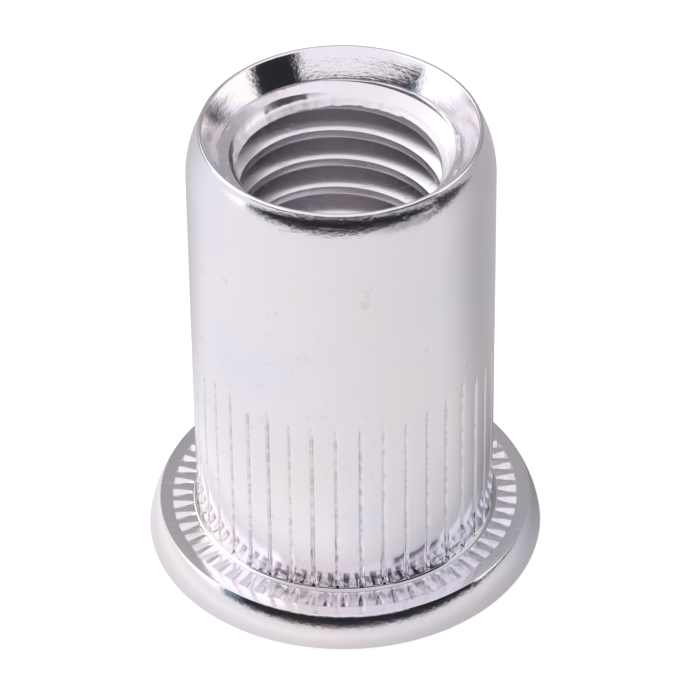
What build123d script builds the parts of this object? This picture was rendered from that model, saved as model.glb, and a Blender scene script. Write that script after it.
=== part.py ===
# Blind rivet nut with a flat head, a ribbed shank and an open threaded nose.
#
# One cold-formed steel piece. It stands on its head: the origin is the centre of the
# head's flat face and +Z runs along the axis to the nose. Millimetres throughout.

from build123d import *

import os
from math import atan, degrees, radians, tan

# Envelope
body_diameter = 12.9
overall_length = 21.3
head_diameter = 17.1
head_thickness = 1.55

# Metric coarse thread M10 x 1.5, kept here as the plain bore at its crests
thread_major_diameter = 10.0
thread_pitch = 1.5
thread_loss_per_pitch = 1.0825
thread_flank_angle = 30.0
thread_end_depth = 10.6

# Nose: a rounded shoulder up to a narrow rim, a countersink inside it and a short relief
shoulder_radial = 0.54
shoulder_axial = 2.3
rim_width = 0.12
countersink_depth = 1.15
countersink_clearance = 0.05
relief_length = 0.45

# Thin-walled zone that collapses when the nut is set, open through the head
collapse_bore_diameter = 10.6
collapse_cone_angle = 45.0
head_entry_chamfer = 0.3

# Edges of the head, and the fillet where the shank meets it
head_rim_radial = 0.48
head_rim_axial = 1.35
head_foot_chamfer = 0.12
neck_fillet_radius = 0.35

# Pressed flutes that leave the shank's ribs between them and fade out upwards
rib_count = 40
flute_width = 0.34
flute_depth = 0.07
flute_top_z = 10.0
flute_runout_length = 1.5

# Radial grooves that leave serrations on the head's bearing side, inside a plain ring
serration_count = 60
serration_outer_diameter = 14.95
groove_width = 0.62
groove_inner_depth = 0.05
groove_outer_depth = 0.18

body_radius = body_diameter / 2
head_radius = head_diameter / 2
major_radius = thread_major_diameter / 2
crest_radius = major_radius - thread_loss_per_pitch * thread_pitch / 2
collapse_radius = collapse_bore_diameter / 2
neck_foot_radius = body_radius + neck_fillet_radius
countersink_radius = major_radius + countersink_clearance


def head_line():
    """The head's edge, its bearing side and the fillet up to the shank."""
    foot = Line((head_radius - head_foot_chamfer, 0), (head_radius, head_foot_chamfer))
    side = Line(foot @ 1, (head_radius, head_thickness - head_rim_axial))
    edge = TangentArc(side @ 1, (head_radius - head_rim_radial, head_thickness), tangent=(0, 1))
    neck_centre = (neck_foot_radius, head_thickness + neck_fillet_radius)
    neck = CenterArc(neck_centre, neck_fillet_radius, 270, -90)
    Line(edge @ 1, neck @ 0)
    return foot @ 0, neck @ 1


def nose_line(shank_foot):
    """The shank, its rounded shoulder, the rim and the countersink inside it."""
    shank = Line(shank_foot, (body_radius, overall_length - shoulder_axial))
    shoulder = TangentArc(shank @ 1, (body_radius - shoulder_radial, overall_length), tangent=(0, 1))
    rim = Line(shoulder @ 1, (body_radius - shoulder_radial - rim_width, overall_length))
    countersink = Line(rim @ 1, (countersink_radius, overall_length - countersink_depth))
    return countersink @ 1


def bore_line(relief_top, foot):
    """The bore, down through relief, thread crests and thin wall to the head's face."""
    relief_end_z = overall_length - countersink_depth - relief_length
    crest_top_z = relief_end_z - (countersink_radius - crest_radius) * tan(radians(thread_flank_angle))
    crest_end_z = overall_length - thread_end_depth
    collapse_top_z = crest_end_z - (collapse_radius - crest_radius) / tan(radians(collapse_cone_angle))
    Polyline(
        relief_top,
        (countersink_radius, relief_end_z),
        (crest_radius, crest_top_z),
        (crest_radius, crest_end_z),
        (collapse_radius, collapse_top_z),
        (collapse_radius, head_entry_chamfer),
        (collapse_radius + head_entry_chamfer, 0),
        foot,
    )


def turned_body():
    """The whole round form, spun from its half section."""
    with BuildPart() as body:
        with BuildSketch(Plane.XZ):
            with BuildLine():
                foot, shank_foot = head_line()
                bore_line(nose_line(shank_foot), foot)
            make_face()
        revolve(axis=Axis.Z)
    return body.part


def flutes():
    """Cutters for the upright flutes: radial sides, a level floor and a ramp at the top."""
    floor_radius = body_radius - flute_depth
    arc = degrees(flute_width / body_radius)
    with BuildSketch(Plane.XZ) as side:
        with BuildLine():
            Polyline(
                (floor_radius, head_thickness),
                (neck_foot_radius, head_thickness),
                (neck_foot_radius, flute_top_z),
                (body_radius, flute_top_z),
                (floor_radius, flute_top_z - flute_runout_length),
                close=True,
            )
        make_face()
    flute = Rot(0, 0, -arc / 2) * revolve(side.sketch, axis=Axis.Z, revolution_arc=arc)
    return PolarLocations(0, rib_count) * flute


def serration_grooves():
    """Cutters for the radial V grooves, which deepen from the neck out to the plain ring."""
    length = serration_outer_diameter / 2 - neck_foot_radius
    fall_angle = degrees(atan((groove_outer_depth - groove_inner_depth) / length))
    flank_slope = groove_width / 2 / groove_outer_depth
    height = groove_outer_depth + groove_inner_depth
    start = Location((neck_foot_radius, 0, head_thickness - groove_inner_depth), (0, fall_angle, 0))
    with BuildSketch(Plane.YZ) as section:
        with BuildLine():
            Polyline((0, 0), (height * flank_slope, height), (-height * flank_slope, height), close=True)
        make_face()
    groove = start * extrude(section.sketch, amount=length)
    return PolarLocations(0, serration_count) * groove


def rivet_nut():
    """The finished piece: turned body with its serrations and ribs."""
    return turned_body() - serration_grooves() - flutes()


def main():
    os.makedirs("parts", exist_ok=True)
    export_step(rivet_nut(), "parts/rivet_nut.step")


main()
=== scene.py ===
from math import atan2, cos, degrees, pi, radians, sin, tan

import bmesh
import bpy
from bpy.props import FloatProperty, FloatVectorProperty, IntProperty, PointerProperty
from bpy.types import Operator, Panel, PropertyGroup
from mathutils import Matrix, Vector


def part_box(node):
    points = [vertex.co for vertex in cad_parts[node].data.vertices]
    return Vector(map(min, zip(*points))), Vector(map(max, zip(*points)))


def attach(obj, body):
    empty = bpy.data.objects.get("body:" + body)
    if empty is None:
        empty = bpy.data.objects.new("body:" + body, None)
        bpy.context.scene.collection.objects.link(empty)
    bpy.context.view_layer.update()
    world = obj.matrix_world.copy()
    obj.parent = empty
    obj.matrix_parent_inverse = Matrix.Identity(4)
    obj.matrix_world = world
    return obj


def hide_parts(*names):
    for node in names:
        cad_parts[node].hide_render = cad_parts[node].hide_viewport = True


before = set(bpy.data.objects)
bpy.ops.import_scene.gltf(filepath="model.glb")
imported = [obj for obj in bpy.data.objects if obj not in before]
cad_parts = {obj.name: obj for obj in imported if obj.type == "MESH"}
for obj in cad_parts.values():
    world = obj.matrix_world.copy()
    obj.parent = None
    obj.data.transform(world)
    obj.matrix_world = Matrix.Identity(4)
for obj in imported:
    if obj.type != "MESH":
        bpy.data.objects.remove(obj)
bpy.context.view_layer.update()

bl_info = {
    "name": "Ribbed Rivet Nut",
    "version": (1, 0, 0),
    "blender": (4, 5, 0),
    "location": "View3D > Sidebar > Rivet Nut",
    "description": "Turns, ribs, serrates and threads a plated blind rivet nut and sets it in a light tent",
    "category": "Object",
}

MM = 0.001
FULL_TURN = 2 * pi
NEAR = 2e-6   # two heights or radii closer than this are the same
FAR = 1.0     # further away than any part of the nut
CAD_NODE = "rivet_nut"
NUT_NAME = "plated_rivet_nut"
PLATE_NAME = "bright_zinc_plate"
CAD_LOW, CAD_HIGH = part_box(CAD_NODE)


# --------------------------------------------------------------------------- settings

def length(name, description, default, high=0.1):
    """A length property in metres."""
    return FloatProperty(name=name, description=description, default=default, min=0.0, max=high,
                         subtype="DISTANCE", unit="LENGTH", precision=5)


def angle(name, description, default):
    """An angle property, with its default in degrees."""
    return FloatProperty(name=name, description=description, default=radians(default),
                         subtype="ANGLE", unit="ROTATION")


def share(name, description, default):
    """A plain number from 0 to 1."""
    return FloatProperty(name=name, description=description, default=default, min=0.0, max=1.0)


def colour(name, description, default):
    """A colour property."""
    return FloatVectorProperty(name=name, description=description, default=default, subtype="COLOR",
                               size=3, min=0, max=1)


def number(name, description, default, low=1):
    """A whole number."""
    return IntProperty(name=name, description=description, default=default, min=low)


class BodySettings(PropertyGroup):
    """Sizes of the turned form."""
    overall: length("Overall length", "Head face to rim", CAD_HIGH.z - CAD_LOW.z)
    head_radius: length("Head radius", "Outside radius of the head",
                        min(CAD_HIGH.x - CAD_LOW.x, CAD_HIGH.y - CAD_LOW.y) / 2)
    head_thickness: length("Head thickness", "Face to bearing side", 1.55 * MM)
    head_round: length("Head edge width", "Radial width of the head's rounded edge", 0.48 * MM)
    head_edge: length("Head edge height", "Height of the head's rounded edge", 1.41 * MM)
    body_radius: length("Shank radius", "Radius over the ribs", 6.45 * MM)
    neck_fillet: length("Neck fillet", "Radius where the shank meets the head", 0.2 * MM)
    shoulder_width: length("Shoulder width", "Radial run of the nose shoulder", 0.6 * MM)
    shoulder_length: length("Shoulder length", "Axial run of the nose shoulder", 2.3 * MM)
    rim_round: length("Rim rounding", "Radius of the rim's rounded edge", 0.12 * MM)
    countersink_radius: length("Countersink radius", "Small end of the countersink", 5.05 * MM)
    countersink_depth: length("Countersink depth", "Depth of the countersink", 1.15 * MM)
    relief_length: length("Relief length", "Plain band under the countersink", 0.06 * MM)
    collapse_radius: length("Thin wall radius", "Bore radius of the collapsing zone", 5.3 * MM)
    outside_steps: number("Outside steps", "Faces round the outside", 720, 90)
    bore_steps: number("Bore steps", "Faces round the bore", 240, 30)


class FluteSettings(PropertyGroup):
    """The pressed flutes that leave the ribs."""
    count: number("Count", "Flutes round the shank", 40)
    width: length("Width", "Width across one flute", 0.22 * MM)
    depth: length("Depth", "Depth of a flute", 0.06 * MM)
    top: length("Top", "Height at which the flutes fade out", 11.1 * MM)
    runout: length("Run-out", "Length of the fade", 1.1 * MM)
    uneven: length("Unevenness", "Spread of the flutes' tops", 0.22 * MM)
    turn: angle("Turn", "Angle of the first flute", -93.2)


class SerrationSettings(PropertyGroup):
    """The radial grooves on the head's bearing side."""
    count: number("Count", "Grooves round the head", 60)
    inner_radius: length("Inner radius", "Where the grooves start", 6.68 * MM)
    outer_radius: length("Outer radius", "Where the grooves end", 7.5 * MM)
    width: length("Width", "Width of a groove at the plain ring", 0.56 * MM)
    inner_depth: length("Inner depth", "Depth at the neck", 0.03 * MM)
    outer_depth: length("Outer depth", "Depth at the plain ring", 0.16 * MM)
    turn: angle("Turn", "Angle of the first groove", -90.0)


class ThreadSettings(PropertyGroup):
    """The metric coarse internal thread and its worn lead-in."""
    major_radius: length("Major radius", "Radius at the roots", 5.0 * MM)
    pitch: length("Pitch", "Rise in one turn", 1.5 * MM)
    crest_radius: length("Crest radius", "Radius at the crests", 4.188 * MM)
    end_depth: length("End depth", "From the rim to the thread's last turn", 10.6 * MM)
    crest_round: length("Crest rounding", "Radius of the burnished crest edges", 0.06 * MM)
    phase: angle("Phase", "Turn of the thread about the axis", -15.6)
    lead_depth: length("Lead-in depth", "From the rim to the foot of the lead-in", 1.93 * MM)
    lead_length: length("Lead-in length", "Height of the lead-in's cone", 0.6 * MM)
    lead_hollow: length("Lead-in hollow", "How far the lead-in's cone is hollowed", 0.035 * MM)
    lead_top: length("Lead-in top", "Radius at the lead-in's upper end", 4.63 * MM)
    chips: length("Chips", "Unevenness of the first crest's edge", 0.14 * MM)


class FinishSettings(PropertyGroup):
    """The zinc plate."""
    zinc: colour("Zinc", "Bright zinc plate", (0.83, 0.80, 0.84))
    blue: colour("Blue cast", "Blue cast of the passivation", (0.72, 0.78, 0.88))
    straw: colour("Straw cast", "Straw cast of the passivation", (0.86, 0.81, 0.74))
    # Grey of the painted shade in the flutes and on the lower ribs, foot and seat away from the left lamp, and of the
    # random smudges on the shank.
    shade_and_soil: colour("Soil", "Grey soil in the flutes and grooves", (0.20, 0.19, 0.21))
    streaks: share("Streaks", "Strength of the turning streaks in the countersink", 0.5)
    grain: share("Grain", "Strength of the plate's fine grain", 0.5)


class StudioSettings(PropertyGroup):
    """The camera."""
    lens: FloatProperty(name="Lens", description="Focal length in millimetres", default=248.0, min=20, max=500)
    distance: length("Distance", "From the nut's middle to the camera", 205.0 * MM, high=2.0)
    elevation: angle("Elevation", "Camera height angle", 38.97)
    roll: angle("Roll", "Camera roll", -0.62)
    aim: FloatVectorProperty(name="Aim", description="Point that the camera looks at", subtype="TRANSLATION",
                             unit="LENGTH", size=3, precision=5, default=(0.29 * MM, -0.556 * MM, 9.963 * MM))


GROUPS = {
    "nut_body": BodySettings,
    "nut_flutes": FluteSettings,
    "nut_serrations": SerrationSettings,
    "nut_thread": ThreadSettings,
    "nut_finish": FinishSettings,
    "nut_studio": StudioSettings,
}


# --------------------------------------------------------------------------- node trees

class Value:
    """A node's output. Sums and products of values add Math nodes to its tree."""

    def __init__(self, make, socket):
        self.make, self.socket = make, socket

    def __add__(self, other):
        return self.make.math("ADD", self, other)

    def __radd__(self, other):
        return self.make.math("ADD", other, self)

    def __sub__(self, other):
        return self.make.math("SUBTRACT", self, other)

    def __rsub__(self, other):
        return self.make.math("SUBTRACT", other, self)

    def __mul__(self, other):
        return self.make.math("MULTIPLY", self, other)

    def __truediv__(self, other):
        return self.make.math("DIVIDE", self, other)

    def __rtruediv__(self, other):
        return self.make.math("DIVIDE", other, self)


class TreeMaker:
    """Short calls for building a node tree."""

    def __init__(self, tree):
        self.tree = tree

    def outputs(self, node):
        """A node's outputs by name."""
        return {socket.name: Value(self, socket) for socket in node.outputs}

    def feed(self, socket, value):
        """Links a value to a socket, or sets the socket to a number, a vector, a colour or a material."""
        if isinstance(value, Value):
            self.tree.links.new(value.socket, socket)
        else:
            socket.default_value = value

    def add(self, kind, links=None, **settings):
        """A new node with its settings, and its inputs fed by name or number."""
        node = self.tree.nodes.new(kind)
        for key, value in settings.items():
            setattr(node, key, value)
        for key, value in (links or {}).items():
            self.feed(node.inputs[key], value)
        return node

    def node(self, kind, links=None, out=0, **settings):
        """One output of a new node."""
        return Value(self, self.add(kind, links, **settings).outputs[out])

    def math(self, operation, *values):
        """The result of a Math node."""
        return self.node("ShaderNodeMath", dict(enumerate(values)), operation=operation)

    def vector(self, x, y, z):
        """A vector from its parts."""
        return self.node("ShaderNodeCombineXYZ", {"X": x, "Y": y, "Z": z})

    def split(self, vector):
        """The X, Y and Z of a vector."""
        return self.outputs(self.add("ShaderNodeSeparateXYZ", {0: vector})).values()

    def polar(self, radius, turned, height):
        """A place from its radius, angle and height."""
        return self.vector(radius * self.math("COSINE", turned), radius * self.math("SINE", turned), height)

    def ramp(self, value, start, end, low=0.0, high=1.0, smooth=False):
        """Goes from low to high while a value goes from start to end."""
        return self.node("ShaderNodeMapRange", {"Value": value, "From Min": start, "From Max": end,
                                                "To Min": low, "To Max": high},
                         interpolation_type="SMOOTHSTEP" if smooth else "LINEAR")

    def band(self, value, low, high, soft):
        """A mask that is 1 between two values."""
        rise = self.ramp(value, low - soft, low + soft, smooth=True)
        return rise * self.ramp(value, high - soft, high + soft, 1.0, 0.0, smooth=True)

    def noise(self, place, scale, detail, roughness=0.5):
        """Noise between 0 and 1, mostly near a half."""
        return self.node("ShaderNodeTexNoise", {"Vector": place, "Scale": scale, "Detail": detail,
                                                "Roughness": roughness})

    def mix(self, part, first, second):
        """A colour between two colours."""
        return self.node("ShaderNodeMix", {0: part, 6: first, 7: second}, out=2, data_type="RGBA")


def geometry_tree(name, counts, numbers):
    """Calls for a new Geometry Nodes tree, and the values of its named inputs."""
    tree = bpy.data.node_groups.new(name, "GeometryNodeTree")
    tree.interface.new_socket("Geometry", in_out="OUTPUT", socket_type="NodeSocketGeometry")
    kinds = {"NodeSocketGeometry": ["Geometry"], "NodeSocketInt": counts, "NodeSocketFloat": numbers,
             "NodeSocketMaterial": ["Material"]}
    for kind, labels in kinds.items():
        for label in labels:
            tree.interface.new_socket(label, in_out="INPUT", socket_type=kind)
    make = TreeMaker(tree)
    return make, make.outputs(tree.nodes.new("NodeGroupInput"))


def close_tree(make, given, geometry):
    """Ends a Geometry Nodes tree in Realize Instances and Set Material."""
    real = make.node("GeometryNodeRealizeInstances", {"Geometry": geometry})
    painted = make.node("GeometryNodeSetMaterial", {"Geometry": real, "Material": given["Material"]})
    make.add("NodeGroupOutput", {0: painted})
    return make.tree


def run_tree(piece, tree, values):
    """Runs a tree on a piece and keeps the result as a plain mesh."""
    modifier = piece.modifiers.new(tree.name, "NODES")
    modifier.node_group = tree
    sockets = {s.name: s.identifier for s in tree.interface.items_tree
               if s.item_type == "SOCKET" and s.in_out == "INPUT"}
    for label, value in values.items():
        modifier[sockets[label]] = value
    bpy.context.view_layer.update()
    shown = piece.evaluated_get(bpy.context.evaluated_depsgraph_get())
    mesh = bpy.data.meshes.new_from_object(shown)
    piece.modifiers.remove(modifier)
    old = piece.data
    piece.data = mesh
    bpy.data.meshes.remove(old)
    mesh.name = piece.name


def section_object(name, points):
    """An object whose vertices are a half section, radius along X and height along Z."""
    mesh = bpy.data.meshes.new(name)
    mesh.from_pydata([(r, 0, z) for r, z in points], [(i, i + 1) for i in range(len(points) - 1)], [])
    piece = bpy.data.objects.new(name, mesh)
    bpy.context.scene.collection.objects.link(piece)
    return piece


def section_size(make, given):
    """The number of points in the half section that a tree is given."""
    return make.node("GeometryNodeAttributeDomainSize", {0: given["Geometry"]}, out="Point Count")


def grid_fields(make, columns, rows):
    """A grid, and the row and column number of each of its points."""
    stops = columns + 1.0
    grid = make.node("GeometryNodeMeshGrid", {"Vertices X": rows, "Vertices Y": stops})
    index = make.node("GeometryNodeInputIndex")
    row = make.math("FLOOR", (index + 0.5) / stops)
    return grid, row, index - row * stops


def sample_section(make, given, index):
    """The radius and height of one point of the half section that a tree is given."""
    sample = make.add("GeometryNodeSampleIndex", {"Geometry": given["Geometry"], "Index": index},
                      data_type="FLOAT_VECTOR", domain="POINT")
    value = next(s for s in sample.inputs if s.name == "Value" and s.enabled)
    make.feed(value, make.node("GeometryNodeInputPosition"))
    radius, _, height = make.split(Value(make, next(s for s in sample.outputs if s.enabled)))
    return radius, height


def bend_grid(make, given, mesh, place, gap):
    """Lays a grid's points in their places, joins its ends and closes the tree."""
    laid = make.node("GeometryNodeSetPosition", {"Geometry": mesh, "Position": place})
    return close_tree(make, given, make.node("GeometryNodeMergeByDistance", {"Geometry": laid, "Distance": gap}))


def turning_tree():
    """Spins a half section round the axis, with its columns gathered at the flutes where it is a shank."""
    make, given = geometry_tree("Spin a half section", ["Steps", "Flutes"], ["Turn", "Gather", "Foot Radius", "Seat"])
    mesh, row, column = grid_fields(make, given["Steps"], section_size(make, given))
    radius, height = sample_section(make, given, row)
    even = column / given["Steps"] * FULL_TURN
    spacing = FULL_TURN / given["Flutes"]
    around = (even - given["Turn"]) / spacing
    off = around - make.math("ROUND", around)
    pull = (1.0 - make.math("ABSOLUTE", off) * 2.0) * given["Gather"]
    on_shank = (make.math("LESS_THAN", radius, given["Foot Radius"])
                * make.math("GREATER_THAN", height, given["Seat"]))
    turned = even - off * pull * (spacing * on_shank)
    return bend_grid(make, given, mesh, make.polar(radius, turned, height), 1e-7)


def thread_tree():
    """Winds one pitch of thread profile up the bore as a helix."""
    make, given = geometry_tree("Wind the thread", ["Steps", "Turns"], ["Pitch", "Start", "Phase"])
    points = section_size(make, given)
    mesh, row, column = grid_fields(make, given["Steps"], points * given["Turns"] + 1.0)
    turn = make.math("FLOOR", (row + 0.5) / points)
    radius, rise = sample_section(make, given, row - turn * points)
    way_round = column / given["Steps"]
    turned = way_round * FULL_TURN + given["Phase"]
    height = given["Start"] + (turn + way_round) * given["Pitch"] + rise
    return bend_grid(make, given, mesh, make.polar(radius, turned, height), 1e-6)


def repeat_fields(make, given):
    """Place and radius of a point, the number of its copy and its angle from that copy's middle."""
    x, y, z = make.split(make.node("GeometryNodeInputPosition"))
    radius = make.math("SQRT", x * x + y * y)
    around = (make.math("ARCTAN2", y, x) - given["Turn"]) / FULL_TURN * given["Count"]
    nearest = make.math("ROUND", around)
    copy = make.math("FLOORED_MODULO", nearest, given["Count"])
    return x, y, z, radius, copy, (around - nearest) * FULL_TURN / given["Count"]


def chance(make, salt, copy, low, high):
    """A fixed random number for each copy."""
    random = make.node("ShaderNodeTexWhiteNoise", {"Vector": make.vector(copy, salt, 0.0)}, noise_dimensions="2D")
    return random * (high - low) + low


def flute_tree():
    """Presses the flutes into the shank above the neck fillet, each with its own place, width, depth and top."""
    make, given = geometry_tree("Press the flutes", ["Count"], [
        "Turn", "Width", "Depth", "Top", "Run-out", "Unevenness", "Shank Radius", "Foot", "Seed"])
    foot, shank = given["Foot"], given["Shank Radius"]
    flare_width, flare_height = 0.2 * MM, 0.75 * MM    # a flute is wider at the neck
    begin_low, begin_high = 0.1 * MM, 0.34 * MM        # it begins above the fillet
    crown_share = 0.3                                  # the rib's crown, as a share of the flute's depth
    x, y, z, radius, copy, off_angle = repeat_fields(make, given)
    drift = chance(make, 7.0, copy, -0.004, 0.004)
    across = make.math("ABSOLUTE", off_angle + drift) * radius
    flare = make.ramp(z, foot + flare_height, foot)
    half = given["Width"] * chance(make, 3.0, copy, 0.42, 0.58) + flare * flare * flare_width
    groove = make.ramp(across, 0.0, half, 1.0, 0.0, smooth=True)
    top = given["Top"] + chance(make, given["Seed"], copy, -1.0, 1.0) * given["Unevenness"]
    fade = (make.ramp(z, top - given["Run-out"], top, 1.0, 0.0, smooth=True)
            * make.ramp(z, foot + begin_low, foot + begin_high, smooth=True))
    near_flute = 1.0 - make.math("ABSOLUTE", off_angle) * (given["Count"] / pi)
    crown = near_flute * near_flute * crown_share
    sink = given["Depth"] * (groove * chance(make, 11.0, copy, 0.75, 1.25) + crown) * fade
    wanted = make.math("MINIMUM", radius, shank - sink)
    on_shank = make.math("LESS_THAN", radius - shank, NEAR) * make.math("GREATER_THAN", z, foot)
    scale = (radius + (wanted - radius) * on_shank) / radius
    pressed = make.node("GeometryNodeSetPosition", {
        "Geometry": given["Geometry"], "Selection": make.math("GREATER_THAN", radius, shank * 0.999),
        "Position": make.vector(x * scale, y * scale, z)})
    return close_tree(make, given, pressed)


def serration_tree():
    """Sinks the tapering radial grooves into the head's bearing side, each with its own depth."""
    make, given = geometry_tree("Cut the serrations", ["Count"], [
        "Turn", "Width", "Inner Depth", "Outer Depth", "Inner Radius", "Outer Radius", "Seat", "Seed"])
    inner, outer = given["Inner Radius"], given["Outer Radius"]
    _, _, z, radius, copy, off_angle = repeat_fields(make, given)
    across = make.math("ABSOLUTE", off_angle) * radius
    depth = make.ramp(radius, inner, outer, given["Inner Depth"], given["Outer Depth"])
    half = (depth / given["Outer Depth"] + 1.0) * given["Width"] * 0.25
    groove = make.ramp(across, 0.0, half, 1.0, 0.0, smooth=True)
    sink = depth * chance(make, given["Seed"], copy, 0.85, 1.15) * groove
    on_seat = (make.math("GREATER_THAN", radius, inner - NEAR) * make.math("LESS_THAN", radius, outer + NEAR)
               * make.math("COMPARE", z, given["Seat"], NEAR))
    cut = make.node("GeometryNodeSetPosition", {"Geometry": given["Geometry"], "Selection": on_seat,
                                                "Offset": make.vector(0.0, 0.0, sink * -1.0)})
    return close_tree(make, given, cut)


# --------------------------------------------------------------------------- half sections

UNDERSIDE_RIM = 0.6 * MM   # the outside section starts this far outside the bore
ENTRY_CHAMFER = 0.3 * MM


def arc(centre, radius, start, end, count):
    """Points of an arc in the half section, angles in degrees."""
    steps = [radians(start + (end - start) * i / count) for i in range(count + 1)]
    return [(centre[0] + radius * cos(a), centre[1] + radius * sin(a)) for a in steps]


def run(first, last, count):
    """Evenly spaced points of a straight line, both ends included."""
    return [(first[0] + (last[0] - first[0]) * i / count, first[1] + (last[1] - first[1]) * i / count)
            for i in range(count + 1)]


def rise_to(start, finish, count):
    """Points of an arc that leaves start upright and ends at finish."""
    across, up = start[0] - finish[0], finish[1] - start[1]
    radius = (across ** 2 + up ** 2) / (2 * across)
    turn = degrees(2 * atan2(across, up))
    return arc((start[0] - radius, start[1]), radius, 0, turn, count)


def bowed(start, finish, turn, count):
    """An arc between two points that bulges away from the axis and turns by some degrees."""
    a, b = Vector(start), Vector(finish)
    chord = b - a
    radius = chord.length / (2 * sin(radians(turn) / 2))
    inward = Vector((-chord.y, chord.x)).normalized()
    centre = (a + b) / 2 + inward * radius * cos(radians(turn) / 2)
    first = degrees(atan2(a.y - centre.y, a.x - centre.x))
    return arc((centre.x, centre.y), radius, first, first + turn, count)


def joined(*parts):
    """One list of points without the repeats where the parts meet."""
    points = []
    for part in parts:
        for p in part:
            if not points or abs(p[0] - points[-1][0]) + abs(p[1] - points[-1][1]) > 1e-8:
                points.append(p)
    return points


def rounded_corner(before, corner, after, radius, count):
    """A corner of the half section rounded by an arc."""
    a, c, b = Vector(before), Vector(corner), Vector(after)
    u, v = (a - c).normalized(), (b - c).normalized()
    half = u.angle(v) / 2
    reach = radius / tan(half)
    centre = c + (u + v).normalized() * (radius / sin(half))
    first, last = c + u * reach - centre, c + v * reach - centre
    start = atan2(first.y, first.x)
    sweep = (atan2(last.y, last.x) - start + pi) % FULL_TURN - pi
    return arc(centre, radius, degrees(start), degrees(start + sweep), count)


def outside_section(body, flutes, serrations):
    """The half section from the underside, round the outside and over the rim down to the thread.

    The last number of each line or arc is its number of faces.
    """
    seat, top = body.head_thickness, body.overall
    head, shank = body.head_radius, body.body_radius
    foot_round, seat_round, lip_round = 0.12 * MM, 0.03 * MM, 0.05 * MM
    flare_top = seat + 0.8 * MM
    underside = run((body.collapse_radius + UNDERSIDE_RIM, 0), (head - foot_round, 0), 2)
    foot = rounded_corner((0, 0), (head, 0), (head, seat), foot_round, 3)
    edge = bowed((head, seat - body.head_edge), (head - body.head_round, seat), 21, 10)
    ring_edge = rounded_corner(edge[-2], edge[-1], (0, seat), seat_round, 3)
    ring = [(serrations.outer_radius + 0.012 * MM, seat)]
    teeth = run((serrations.outer_radius, seat), (serrations.inner_radius, seat), 4)
    neck = seat + body.neck_fillet
    fillet = arc((shank + body.neck_fillet, neck), body.neck_fillet, 270, 180, 8)
    fade_start, fade_end = flutes.top - flutes.runout - flutes.uneven, flutes.top + flutes.uneven
    shoulder_start = top - body.shoulder_length
    upright = [run((shank, low), (shank, high), count) for low, high, count in (
        (neck, flare_top, 6), (flare_top, fade_start, 3), (fade_start, fade_end, 12), (fade_end, shoulder_start, 2))]
    rim_point = (shank - body.shoulder_width, top)
    shoulder = rise_to((shank, shoulder_start), rim_point, 12)
    lip = (body.countersink_radius, top - body.countersink_depth)
    corner = top
    for _ in range(4):  # raises the sharp corner until its rounding touches the top
        rim = rounded_corner(shoulder[-2], (rim_point[0], corner), lip, body.rim_round, 7)
        corner += top - max(z for _, z in rim)
    countersink = run(rim[-1], lip, 3)
    relief_end = (body.countersink_radius, lip[1] - body.relief_length)
    lip_edge = rounded_corner(countersink[-2], lip, relief_end, lip_round, 3)
    relief = run(lip_edge[-1], relief_end, 2)
    return joined(underside[:-1], foot, edge[:-1], ring_edge, ring, teeth, fillet, *upright,
                  shoulder[:-1], rim, countersink[1:-1], lip_edge, relief)


def bore_section(body, thread):
    """The half section from the thread's last turn down to the underside."""
    end = body.overall - thread.end_depth
    wide = body.collapse_radius
    cone_end = end - (wide - thread.crest_radius)
    return joined([(wide + ENTRY_CHAMFER, 0)], run((wide, ENTRY_CHAMFER), (wide, cone_end), 6),
                  [(thread.crest_radius, end)])


def thread_section(thread):
    """One pitch of the thread: crest, lower flank, root and upper flank, from below upwards."""
    p, low, high = thread.pitch, thread.crest_radius, thread.major_radius
    root_half = p / 16
    flank = tan(radians(30.0)) * (high - low)
    crest_half = p / 2 - root_half - flank
    eased = rounded_corner((low, 0), (low, -crest_half), (high, -crest_half - flank), thread.crest_round, 3)
    upper = [(r, -z) for r, z in eased]
    rise = [(low, 0.0)] + upper + run(upper[-1], (high, crest_half + flank), 5)[1:]
    fall = [(r, p - z) for r, z in reversed(rise)]
    points = joined(rise, [(high, p / 2)], fall)
    return points[:-1]


# --------------------------------------------------------------------------- mesh help

def trim_between(mesh, low, high):
    """Cuts a mesh off level at two heights."""
    bm = bmesh.new()
    bm.from_mesh(mesh)
    for height, keep in ((high, -1), (low, 1)):
        bmesh.ops.bisect_plane(bm, geom=bm.verts[:] + bm.edges[:] + bm.faces[:], dist=1e-7,
                               plane_co=(0, 0, height), plane_no=(0, 0, -keep), clear_outer=True)
    bm.to_mesh(mesh)
    bm.free()


def polar_angle(point):
    """A point's angle about the axis, from nothing to a full turn."""
    return atan2(point.y, point.x) % FULL_TURN


def open_rings(verts):
    """The open edges of one part as rings of vertices in order round the axis, the lower first."""
    rings, waiting = [], {v for v in verts if any(e.is_boundary for e in v.link_edges)}
    while waiting:
        ring, reach = set(), [next(iter(waiting))]
        while reach:
            v = reach.pop()
            if v in waiting:
                waiting.discard(v)
                ring.add(v)
                reach += [e.other_vert(v) for e in v.link_edges if e.is_boundary]
        rings.append(sorted(ring, key=lambda v: polar_angle(v.co)))
    if len(rings) != 2:
        raise RuntimeError(f"{len(rings)} open rings where 2 were expected")
    return sorted(rings, key=lambda r: r[0].co.z)


def lace(bm, fine, coarse):
    """Joins two open rings about the axis whose numbers of vertices may differ."""
    i = j = 0
    n, m = len(fine), len(coarse)
    while i < n or j < m:
        a, b = fine[i % n], coarse[j % m]
        after_a, after_b = fine[(i + 1) % n], coarse[(j + 1) % m]
        next_a = polar_angle(after_a.co) + (FULL_TURN if i + 1 >= n else 0)
        next_b = polar_angle(after_b.co) + (FULL_TURN if j + 1 >= m else 0)
        if j >= m or (i < n and next_a <= next_b):
            bm.faces.new((a, after_a, b))
            i += 1
        else:
            bm.faces.new((a, after_b, b))
            j += 1


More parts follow.
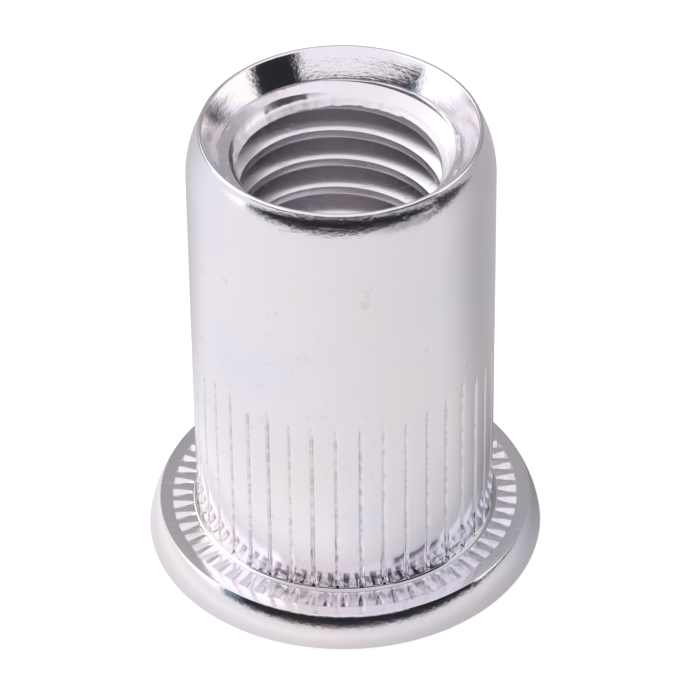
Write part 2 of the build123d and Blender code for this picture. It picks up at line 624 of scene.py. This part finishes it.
def uneven_edge(turned):
    """A fixed ragged line round the bore, from -1 to 1."""
    waves = ((0.5, 9, 1.1), (0.3, 23, 0.4), (0.35, 41, 2.3), (0.25, 67, 4.0))
    return sum(size * sin(times * turned + start) for size, times, start in waves) / sum(w[0] for w in waves)


def lead_radius(body, thread, turned, height):
    """Radius of the hollow lead-in cone at an angle and height. A flatter cone widens it to the countersink."""
    crest, wide = thread.crest_radius, thread.lead_top
    foot = body.overall - thread.lead_depth
    way_up = (height - foot) / thread.lead_length
    if way_up > 1:
        lead_end = foot + thread.lead_length
        flat = body.overall - body.countersink_depth - body.relief_length - lead_end
        return wide + (body.countersink_radius - wide) * min((height - lead_end) / flat, 1.0)
    ragged = thread.chips * 0.5 * uneven_edge(turned) / thread.lead_length
    way_up = (way_up - ragged) / (1 - ragged)
    if way_up <= 0:
        return crest * (1 + 4 * way_up)  # shrinks fast, so that nothing is cut below the foot
    return crest + (wide - crest) * way_up + thread.lead_hollow * 4 * way_up * (1 - way_up)


def crossing(low, high, room):
    """The point where an edge meets the lead-in, from an end without room to it to an end with room."""
    for _ in range(24):
        middle = (low + high) / 2
        if room(middle) > 0:
            high = middle
        else:
            low = middle
    return high


def cut_lead_in(mesh, body, thread):
    """Cuts the thread's top turns back to the lead-in, with an edge along the cut."""
    def room(place):
        """How far a point is from the lead-in, more than nothing where it has to be cut back."""
        return lead_radius(body, thread, atan2(place.y, place.x), place.z) - place.xy.length

    bm = bmesh.new()
    bm.from_mesh(mesh)
    foot = body.overall - thread.lead_depth
    reach = foot - 0.3 * MM
    levels = 8
    for step in range(2, levels + 1):
        height = foot + thread.lead_length * step / levels
        crossed = [f for f in bm.faces if max(v.co.z for v in f.verts) > height > min(v.co.z for v in f.verts)]
        geom = dict.fromkeys(item for f in crossed for item in (f, *f.edges, *f.verts))
        bmesh.ops.bisect_plane(bm, geom=list(geom), dist=1e-7, plane_co=(0, 0, height), plane_no=(0, 0, 1))
    depth = {v: room(v.co) for v in bm.verts if v.co.z > reach}
    cuts = []
    for edge in bm.edges:
        a, b = edge.verts
        if a in depth and b in depth and depth[a] * depth[b] < 0:
            low, high = (b, a) if depth[a] > 0 else (a, b)
            at = crossing(low.co.copy(), high.co.copy(), room)
            cuts.append((edge, a, (at - a.co).length / (b.co - a.co).length))
    fresh = [bmesh.utils.edge_split(edge, a, place)[1] for edge, a, place in cuts if 0.02 < place < 0.98]
    bmesh.ops.connect_verts(bm, verts=fresh)
    for v in bm.verts:
        spare = room(v.co) if v.co.z > reach else 0
        if spare > 0:
            v.co.xy *= (v.co.xy.length + spare) / v.co.xy.length
    bm.to_mesh(mesh)
    bm.free()


def join_parts(parts, pairs):
    """Joins parts with two open rings each into one closed mesh in the first. A pair is two (part, ring)."""
    bm = bmesh.new()
    rings = []
    for part in parts:
        first = len(bm.verts)
        bm.from_mesh(part.data)
        bm.verts.ensure_lookup_table()
        rings.append(open_rings(set(bm.verts[first:])))
    for (one, ring), (other, other_ring) in pairs:
        lace(bm, rings[one][ring], rings[other][other_ring])
    bmesh.ops.recalc_face_normals(bm, faces=bm.faces[:])
    if any(not e.is_manifold for e in bm.edges):
        raise RuntimeError("the nut's surface is not closed")
    for face in bm.faces:
        face.material_index = 0
    bm.to_mesh(parts[0].data)
    bm.free()
    for part in parts[1:]:
        bpy.data.objects.remove(part)


# --------------------------------------------------------------------------- finish

def effect_group(name, numbers):
    """Calls for a new shader group with named numbers, and their values."""
    group = bpy.data.node_groups.new(name, "ShaderNodeTree")
    for label, default in numbers.items():
        socket = group.interface.new_socket(label, in_out="INPUT", socket_type="NodeSocketFloat")
        socket.default_value = default
    make = TreeMaker(group)
    return make, make.outputs(group.nodes.new("NodeGroupInput"))


def close_group(make, name, value, kind="NodeSocketFloat"):
    """Gives a shader group its one output."""
    make.tree.interface.new_socket(name, in_out="OUTPUT", socket_type=kind)
    make.add("NodeGroupOutput", {0: value})
    return make.tree


def object_place(make):
    return make.node("ShaderNodeTexCoord", out="Object")


def turned_place(make):
    """A point in Object coordinates, its radius and height, and the cosine and sine of its angle."""
    place = object_place(make)
    x, y, z = make.split(place)
    radius = make.math("SQRT", x * x + y * y)
    clear = make.math("MAXIMUM", radius, 1e-5)
    return place, radius, z, x / clear, y / clear


def streak_group():
    """Turning streaks: a height that changes quickly up the part and slowly round it."""
    make, given = effect_group("turning_streaks", {"Round": 4.0, "Along": 7000.0})
    _, radius, z, cosine, sine = turned_place(make)
    along = (z + radius * 0.7) * given["Along"]
    spot = make.vector(cosine * given["Round"], sine * given["Round"], along)
    return close_group(make, "Height", make.noise(spot, 1.0, 3.0, 0.65))


def grain_group():
    """Fine pits and waves of the plate."""
    make, given = effect_group("plate_grain", {"Waves": 1100.0, "Pits": 7000.0})
    place = object_place(make)
    waves = make.noise(place, given["Waves"], 1.0)
    pits = make.noise(place, given["Pits"], 3.0, 0.7)
    return close_group(make, "Height", waves * 0.75 + pits * 0.25)


def scratch_group():
    """Short fine scratches in a few directions, in patches."""
    make, given = effect_group("handling_scratches", {"Scale": 420.0, "Patches": 300.0})
    place = object_place(make)
    lines = []
    for turn in ((0.3, 0.9, 0.2), (1.1, 0.2, 1.4), (0.5, 2.1, 0.8)):
        stretched = make.node("ShaderNodeMapping", {"Vector": place, "Rotation": turn, "Scale": (1.0, 11.0, 11.0)})
        lines.append(make.ramp(make.noise(stretched, given["Scale"], 1.0), 0.66, 0.74))
    crossed = make.math("MAXIMUM", make.math("MAXIMUM", lines[0], lines[1]), lines[2])
    patches = make.ramp(make.noise(place, given["Patches"], 2.0), 0.5, 0.62)
    return close_group(make, "Mask", crossed * patches)


def tint_group(finish):
    """The plate's colour with the blue and straw casts of its passivation."""
    make, given = effect_group("passivation_tint", {"Scale": 150.0, "Amount": 0.5})
    clouds = make.noise(object_place(make), given["Scale"], 2.0)
    bluish = make.mix(make.ramp(clouds, 0.52, 0.7) * given["Amount"], (*finish.zinc, 1), (*finish.blue, 1))
    tinted = make.mix(make.ramp(clouds, 0.46, 0.3) * given["Amount"], bluish, (*finish.straw, 1))
    return close_group(make, "Color", tinted, "NodeSocketColor")


def plated_steel(finish, body, serrations):
    """Bright zinc plate, with streaks in the countersink, knocks on rim and head edge, painted shade in the flutes
    and on the ribs' lower band, and random smudges on the shank.
    """
    material = bpy.data.materials.new(PLATE_NAME)
    material.use_nodes = True
    make = TreeMaker(material.node_tree)
    shader = material.node_tree.nodes["Principled BSDF"]
    place, radius, z, cosine, _ = turned_place(make)

    def zone(radii, heights):
        """A mask for a ring of the nut: lowest and highest radius and softness, and the same for the height."""
        return make.band(radius, *radii) * make.band(z, *heights)

    def effect(group):
        return make.node("ShaderNodeGroup", node_tree=group)

    # Masks of the nut's parts.
    lip = body.overall - body.countersink_depth
    rib_radii = (body.body_radius - 0.012 * MM, 6.62 * MM, 0.008 * MM)
    in_bore = zone((0.0, 5.06 * MM, 0.02 * MM), (-FAR, lip + 0.02 * MM, 0.02 * MM))
    in_sink = zone((4.9 * MM, 5.85 * MM, 0.04 * MM), (lip, FAR, 0.03 * MM))
    first_crest = zone((4.1 * MM, 4.42 * MM, 0.06 * MM), (18.9 * MM, 19.75 * MM, 0.1 * MM))
    on_rim = make.band(z, 18.9 * MM, FAR, 0.3 * MM) * make.math("GREATER_THAN", radius, 5.0 * MM)
    on_head_edge = make.band(radius, 7.55 * MM, FAR, 0.1 * MM)
    on_seat = zone((6.7 * MM, serrations.outer_radius + 0.06 * MM, 0.04 * MM),
                   (1.1 * MM, body.head_thickness + 0.06 * MM, 0.02 * MM))
    in_flute = zone((6.2 * MM, body.body_radius - 0.03 * MM, 0.01 * MM), (1.45 * MM, 12 * MM, 0.05 * MM))
    on_rib = zone(rib_radii, (1.78 * MM, 2.28 * MM, 0.05 * MM))
    at_foot = zone(rib_radii, (1.5 * MM, 1.64 * MM, 0.02 * MM))
    on_shank = make.band(z, 3 * MM, 18 * MM, 0.5 * MM)
    # Painted shade: 1 on every side but the left, which faces the left lamp.
    painted_shade_side = make.ramp(cosine, -0.64, -0.46)

    # Colour: the tinted plate, with the strongest of the layers of grey over it: painted shade in the flutes, painted
    # shade on the lower ribs, their foot and the seat away from the left lamp, and random smudges on the shank.
    blotches = make.noise(place, 2600.0, 3.0, 0.7)
    specks = make.ramp(blotches, 0.44, 0.6)
    smudges = make.ramp(make.noise(place, 850.0, 6.0, 0.75), 0.6, 0.72, 0.0, 0.2)
    # Painted shade in the flutes, speckled.
    shade_and_soil = in_flute * (0.03 + specks * 0.24)
    # Painted shade on the lower ribs, their foot and the seat, away from the left lamp; the smudges on the shank are
    # random.
    for layer in (on_rib * painted_shade_side * (0.22 + specks * 0.78), at_foot * painted_shade_side * 0.4,
                  on_seat * painted_shade_side * (specks * 0.16), smudges * on_shank):
        shade_and_soil = make.math("MAXIMUM", shade_and_soil, layer)
    make.feed(shader.inputs["Base Color"], make.mix(shade_and_soil, effect(tint_group(finish)), (*finish.shade_and_soil, 1)))
    shader.inputs["Metallic"].default_value = 1.0

    # Roughness.
    scratches = effect(scratch_group())
    rough = 0.08
    for mask, more in ((in_bore, 0.12), (first_crest, 0.2), (on_seat, 0.08), (scratches, 0.12), (blotches, 0.06)):
        rough = rough + mask * more
    make.feed(shader.inputs["Roughness"], rough)

    # Bump: grain, streaks, scratches, and the dints of rim and head edge.
    grain_size = 1.6 * finish.grain + (in_sink * 1.6 + first_crest * 9.0)
    height = effect(grain_group()) * grain_size
    height = height + effect(streak_group()) * (in_sink * (1.8 * finish.streaks)) - scratches * 0.12
    dints = make.noise(place, 5200.0, 3.0, 0.65)
    height = height + dints * (make.math("MAXIMUM", on_rim, on_head_edge * 0.8) * 1.5)
    bump = make.node("ShaderNodeBump", {"Strength": 1.0, "Distance": 0.0045 * MM, "Height": height})
    make.feed(shader.inputs["Normal"], bump)
    return material


# --------------------------------------------------------------------------- operators

def nut_object():
    """The nut as built so far."""
    piece = bpy.data.objects.get(NUT_NAME)
    if piece is None:
        raise RuntimeError("turn the body first")
    return piece


class NUT_OT_turn_body(Operator):
    """Spin the outside and the plain bore from their half sections"""
    bl_idname = "nut.turn_body"
    bl_label = "Turn Body"

    def execute(self, context):
        scene = context.scene
        body, flutes = scene.nut_body, scene.nut_flutes
        plate = bpy.data.materials.get(PLATE_NAME) or plated_steel(scene.nut_finish, body, scene.nut_serrations)
        tree = turning_tree()
        outside = section_object(NUT_NAME, outside_section(body, flutes, scene.nut_serrations))
        bore = section_object("plain_bore", bore_section(body, scene.nut_thread))
        for piece, steps, gather in ((outside, body.outside_steps, 0.55), (bore, body.bore_steps, 0.0)):
            run_tree(piece, tree, {
                "Steps": steps, "Flutes": flutes.count, "Turn": flutes.turn, "Gather": gather, "Material": plate,
                "Foot Radius": body.body_radius + body.neck_fillet + NEAR, "Seat": body.head_thickness - NEAR})
            if not piece.data.polygons:
                raise RuntimeError("the half section gave no faces")
        return {"FINISHED"}


class NUT_OT_press_flutes(Operator):
    """Press the upright flutes that leave the ribs"""
    bl_idname = "nut.press_flutes"
    bl_label = "Press Flutes"

    def execute(self, context):
        f, body = context.scene.nut_flutes, context.scene.nut_body
        piece = nut_object()
        run_tree(piece, flute_tree(), {
            "Count": f.count, "Turn": f.turn, "Width": f.width, "Depth": f.depth, "Top": f.top,
            "Run-out": f.runout, "Unevenness": f.uneven, "Shank Radius": body.body_radius,
            "Foot": body.head_thickness + NEAR, "Seed": 5.0, "Material": piece.data.materials[0]})
        return {"FINISHED"}


class NUT_OT_cut_serrations(Operator):
    """Cut the radial grooves of the bearing side"""
    bl_idname = "nut.cut_serrations"
    bl_label = "Cut Serrations"

    def execute(self, context):
        s, body = context.scene.nut_serrations, context.scene.nut_body
        piece = nut_object()
        run_tree(piece, serration_tree(), {
            "Count": s.count, "Turn": s.turn, "Width": s.width, "Inner Depth": s.inner_depth,
            "Outer Depth": s.outer_depth, "Inner Radius": s.inner_radius, "Outer Radius": s.outer_radius,
            "Seat": body.head_thickness, "Seed": 2.0, "Material": piece.data.materials[0]})
        return {"FINISHED"}


class NUT_OT_cut_thread(Operator):
    """Wind the thread and close it to the rest of the bore"""
    bl_idname = "nut.cut_thread"
    bl_label = "Cut Thread"

    def execute(self, context):
        body, thread = context.scene.nut_body, context.scene.nut_thread
        piece, bore = nut_object(), bpy.data.objects["plain_bore"]
        plate = bpy.data.materials[PLATE_NAME]
        top = body.overall - body.countersink_depth - body.relief_length
        bottom = body.overall - thread.end_depth
        wound = section_object("wound_thread", thread_section(thread))
        run_tree(wound, thread_tree(), {
            "Steps": body.bore_steps, "Turns": int((top - bottom) / thread.pitch) + 3, "Pitch": thread.pitch,
            "Start": bottom - 1.5 * thread.pitch, "Phase": thread.phase, "Material": plate})
        cut_lead_in(wound.data, body, thread)
        trim_between(wound.data, bottom, top)
        # Each part has a lower ring 0 and an upper ring 1: body and thread top, thread and bore, underside.
        join_parts((piece, bore, wound), (((0, 1), (2, 1)), ((2, 0), (1, 1)), ((0, 0), (1, 0))))
        piece.data.materials.clear()
        piece.data.materials.append(plate)
        piece.data.shade_smooth()
        piece.data.set_sharp_from_angle(angle=radians(27.0))
        return {"FINISHED"}


class NUT_OT_fit_nut(Operator):
    """Tie the finished nut to the frame"""
    bl_idname = "nut.fit_nut"
    bl_label = "Fit to Frame"

    def execute(self, context):
        piece = nut_object()
        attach(piece, "root")
        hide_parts(CAD_NODE)
        return {"FINISHED"}


# --------------------------------------------------------------------------- stage

def floor_material():
    """White paper. The camera sees it plain, with the nut's shadow.

    The metal sees it glowing with painted light, with a painted shadow close round the nut's foot and on its right, a
    little painted light close on its left and in front, painted fall-off to the right and behind, and darkness beyond
    200 mm to the right.
    """
    material = bpy.data.materials.new("studio_paper")
    material.use_nodes = True
    tree = material.node_tree
    make = TreeMaker(tree)
    paper = tree.nodes["Principled BSDF"]
    paper.inputs["Base Color"].default_value = (0.86, 0.84, 0.87, 1)
    paper.inputs["Roughness"].default_value = 0.9
    paper.inputs["Specular IOR Level"].default_value = 0.1
    sees = make.outputs(make.add("ShaderNodeLightPath"))

    def lit(light, strength, grey):
        """A glowing surface that also takes some light."""
        glow = make.node("ShaderNodeEmission", {"Color": light, "Strength": strength})
        matt = make.node("ShaderNodeBsdfDiffuse", {"Color": (grey, grey, grey, 1)})
        return make.node("ShaderNodeAddShader", {0: glow, 1: matt})

    x, y, _ = make.split(object_place(make))
    reach = make.math("SQRT", x * x + (y * y + 1e-8))
    right, back = x / reach, y / reach
    # Painted fall-off of light behind and to the right.
    painted_falloff = make.ramp(back + right * 0.35, -0.1, 0.75, 0.0, 0.32, smooth=True)
    # Painted shadow close to the nut on its right, and a little painted light close on its left and in front.
    close = make.ramp(reach, 9 * MM, 17 * MM, 1.0, 0.0, smooth=True)
    close = close * (0.06 - make.math("MAXIMUM", right, -0.2) * 0.22)
    # Painted shadow close round the nut's foot.
    foot_shade = make.ramp(reach, 8.6 * MM, 11.5 * MM, 0.76, 1.0)
    # Painted darkness beyond 200 mm to the right, though the paper goes on.
    painted_dark_far_right = make.ramp(x, 190 * MM, 210 * MM, 1.0, 0.04)
    strength = 0.845 + close - (painted_falloff + right * 0.085)
    metal_view = lit((1, 0.975, 1, 1), strength * foot_shade * painted_dark_far_right, 0.06)
    camera_view = lit((1, 1, 1, 1), 0.8, 0.34)
    by_metal = make.math("MAXIMUM", sees["Is Glossy Ray"], sees["Is Transmission Ray"])
    other = make.node("ShaderNodeMixShader", {0: by_metal, 1: Value(make, paper.outputs[0]), 2: metal_view})
    shown = make.node("ShaderNodeMixShader", {0: sees["Is Camera Ray"], 1: other, 2: camera_view})
    make.feed(tree.nodes["Material Output"].inputs["Surface"], shown)
    return material


def patch(make, azimuth, elevation, middle, half, low, high, soft):
    """A mask for a part of the tent, in degrees."""
    off = azimuth - middle
    off = off - make.math("ROUND", off / 360.0) * 360.0
    return make.band(off, -half, half, soft) * make.band(elevation, low, high, soft)


# Parts of the tent in the order in which they are hung, in degrees: middle and half width round the nut
# (0 is to the right, -90 in front), lowest and highest elevation, softness of the edges, and colour.
TENT_CLOTH = (1.03, 0.99, 1.04)
TENT_PARTS = (
    (90, 62, -10, 52, 10, (0.42, 0.41, 0.42)),         # grey wall behind
    (-193, 52, 22.5, 70, 2, (1.12, 1.11, 1.12)),       # lit cloth on the left
    (-193, 54, 34, 50, 3, (1.55, 1.54, 1.55)),         # its bright band
    (-107, 53, 1, 21, 1.5, (0.02, 0.02, 0.028)),       # dark opening low in front
    (-157, 6, 4, 13, 3, (0.22, 0.40, 0.52)),           # blue at its left end
    (-97, 26, 0, 4, 1.5, (0.15, 0.1, 0.09)),           # brown at its foot
    (-35, 21, 1, 38, 1.5, (0.02, 0.022, 0.025)),       # dark opening on the right
    (-181, 19, -10, 40, 3, (1.3, 1.29, 1.3)),          # lamp on the left
    (4, 18, 5, 35, 1.5, (1.25, 1.22, 1.16)),           # warm lamp on the right
    (14, 34, -7, 4.5, 1.5, (0.03, 0.032, 0.03)),       # dark gap below that lamp
)


def tent_world():
    """A light tent for the metal, and plain white for the camera."""
    world = bpy.data.worlds.new("light_tent")
    world.use_nodes = True
    world.node_tree.nodes.clear()
    make = TreeMaker(world.node_tree)
    x, y, z = make.split(make.node("ShaderNodeTexCoord", out="Generated"))
    azimuth = make.math("DEGREES", make.math("ARCTAN2", y, x))
    elevation = make.math("DEGREES", make.math("ARCSINE", z))
    tone = (*TENT_CLOTH, 1)
    for *extent, part in TENT_PARTS:
        tone = make.mix(patch(make, azimuth, elevation, *extent), tone, (*part, 1))
    tent = make.node("ShaderNodeBackground", {"Color": tone, "Strength": 1.0})
    white = make.node("ShaderNodeBackground", {"Color": (1, 1, 1, 1), "Strength": 1.0})
    by_camera = make.node("ShaderNodeLightPath", out="Is Camera Ray")
    make.add("ShaderNodeOutputWorld", {
        "Surface": make.node("ShaderNodeMixShader", {0: by_camera, 1: tent, 2: white})})
    return world


class NUT_OT_set_stage(Operator):
    """Lay the floor, hang the light tent and place the camera"""
    bl_idname = "nut.set_stage"
    bl_label = "Set Stage"

    def execute(self, context):
        scene = context.scene
        studio = scene.nut_studio
        mesh = bpy.data.meshes.new("studio_floor")
        half = 0.6
        mesh.from_pydata([(-half, -half, 0), (half, -half, 0), (half, half, 0), (-half, half, 0)], [], [(0, 1, 2, 3)])
        mesh.materials.append(floor_material())
        floor = bpy.data.objects.new("studio_floor", mesh)
        floor.location.z = -0.02 * MM
        scene.collection.objects.link(floor)

        scene.world = tent_world()
        scene.view_settings.view_transform = "Standard"

        lens = bpy.data.cameras.new("studio_camera")
        lens.lens = studio.lens
        lens.sensor_width = 36
        lens.clip_start, lens.clip_end = 0.01, 10
        camera = bpy.data.objects.new("studio_camera", lens)
        scene.collection.objects.link(camera)
        back = Vector((0, -cos(studio.elevation), sin(studio.elevation)))
        camera.location = Vector((0, 0, scene.nut_body.overall / 2)) + back * studio.distance
        facing = (Vector(studio.aim) - camera.location).to_track_quat("-Z", "Y")
        camera.rotation_euler = facing.to_euler()
        camera.rotation_euler.rotate_axis("Z", studio.roll)
        scene.camera = camera
        return {"FINISHED"}


# --------------------------------------------------------------------------- add-on

class NUT_PT_sidebar(Panel):
    """Buttons and sizes of the rivet nut"""
    bl_label = "Rivet Nut"
    bl_idname = "NUT_PT_sidebar"
    bl_space_type = "VIEW_3D"
    bl_region_type = "UI"
    bl_category = "Rivet Nut"

    def draw(self, context):
        for step in STEPS:
            self.layout.operator(step.bl_idname)
        for name, group in GROUPS.items():
            box = self.layout.box()
            box.label(text=group.__doc__)
            for key in group.__annotations__:
                box.prop(getattr(context.scene, name), key)


STEPS = (NUT_OT_turn_body, NUT_OT_press_flutes, NUT_OT_cut_serrations, NUT_OT_cut_thread,
         NUT_OT_fit_nut, NUT_OT_set_stage)
CLASSES = (*GROUPS.values(), *STEPS, NUT_PT_sidebar)


def register():
    for item in CLASSES:
        bpy.utils.register_class(item)
    for name, group in GROUPS.items():
        setattr(bpy.types.Scene, name, PointerProperty(type=group))


def unregister():
    for name in GROUPS:
        delattr(bpy.types.Scene, name)
    for item in reversed(CLASSES):
        bpy.utils.unregister_class(item)


def main():
    register()
    for step in STEPS:
        getattr(bpy.ops.nut, step.bl_idname.split(".")[1])()


if __name__ == "__main__":
    main()
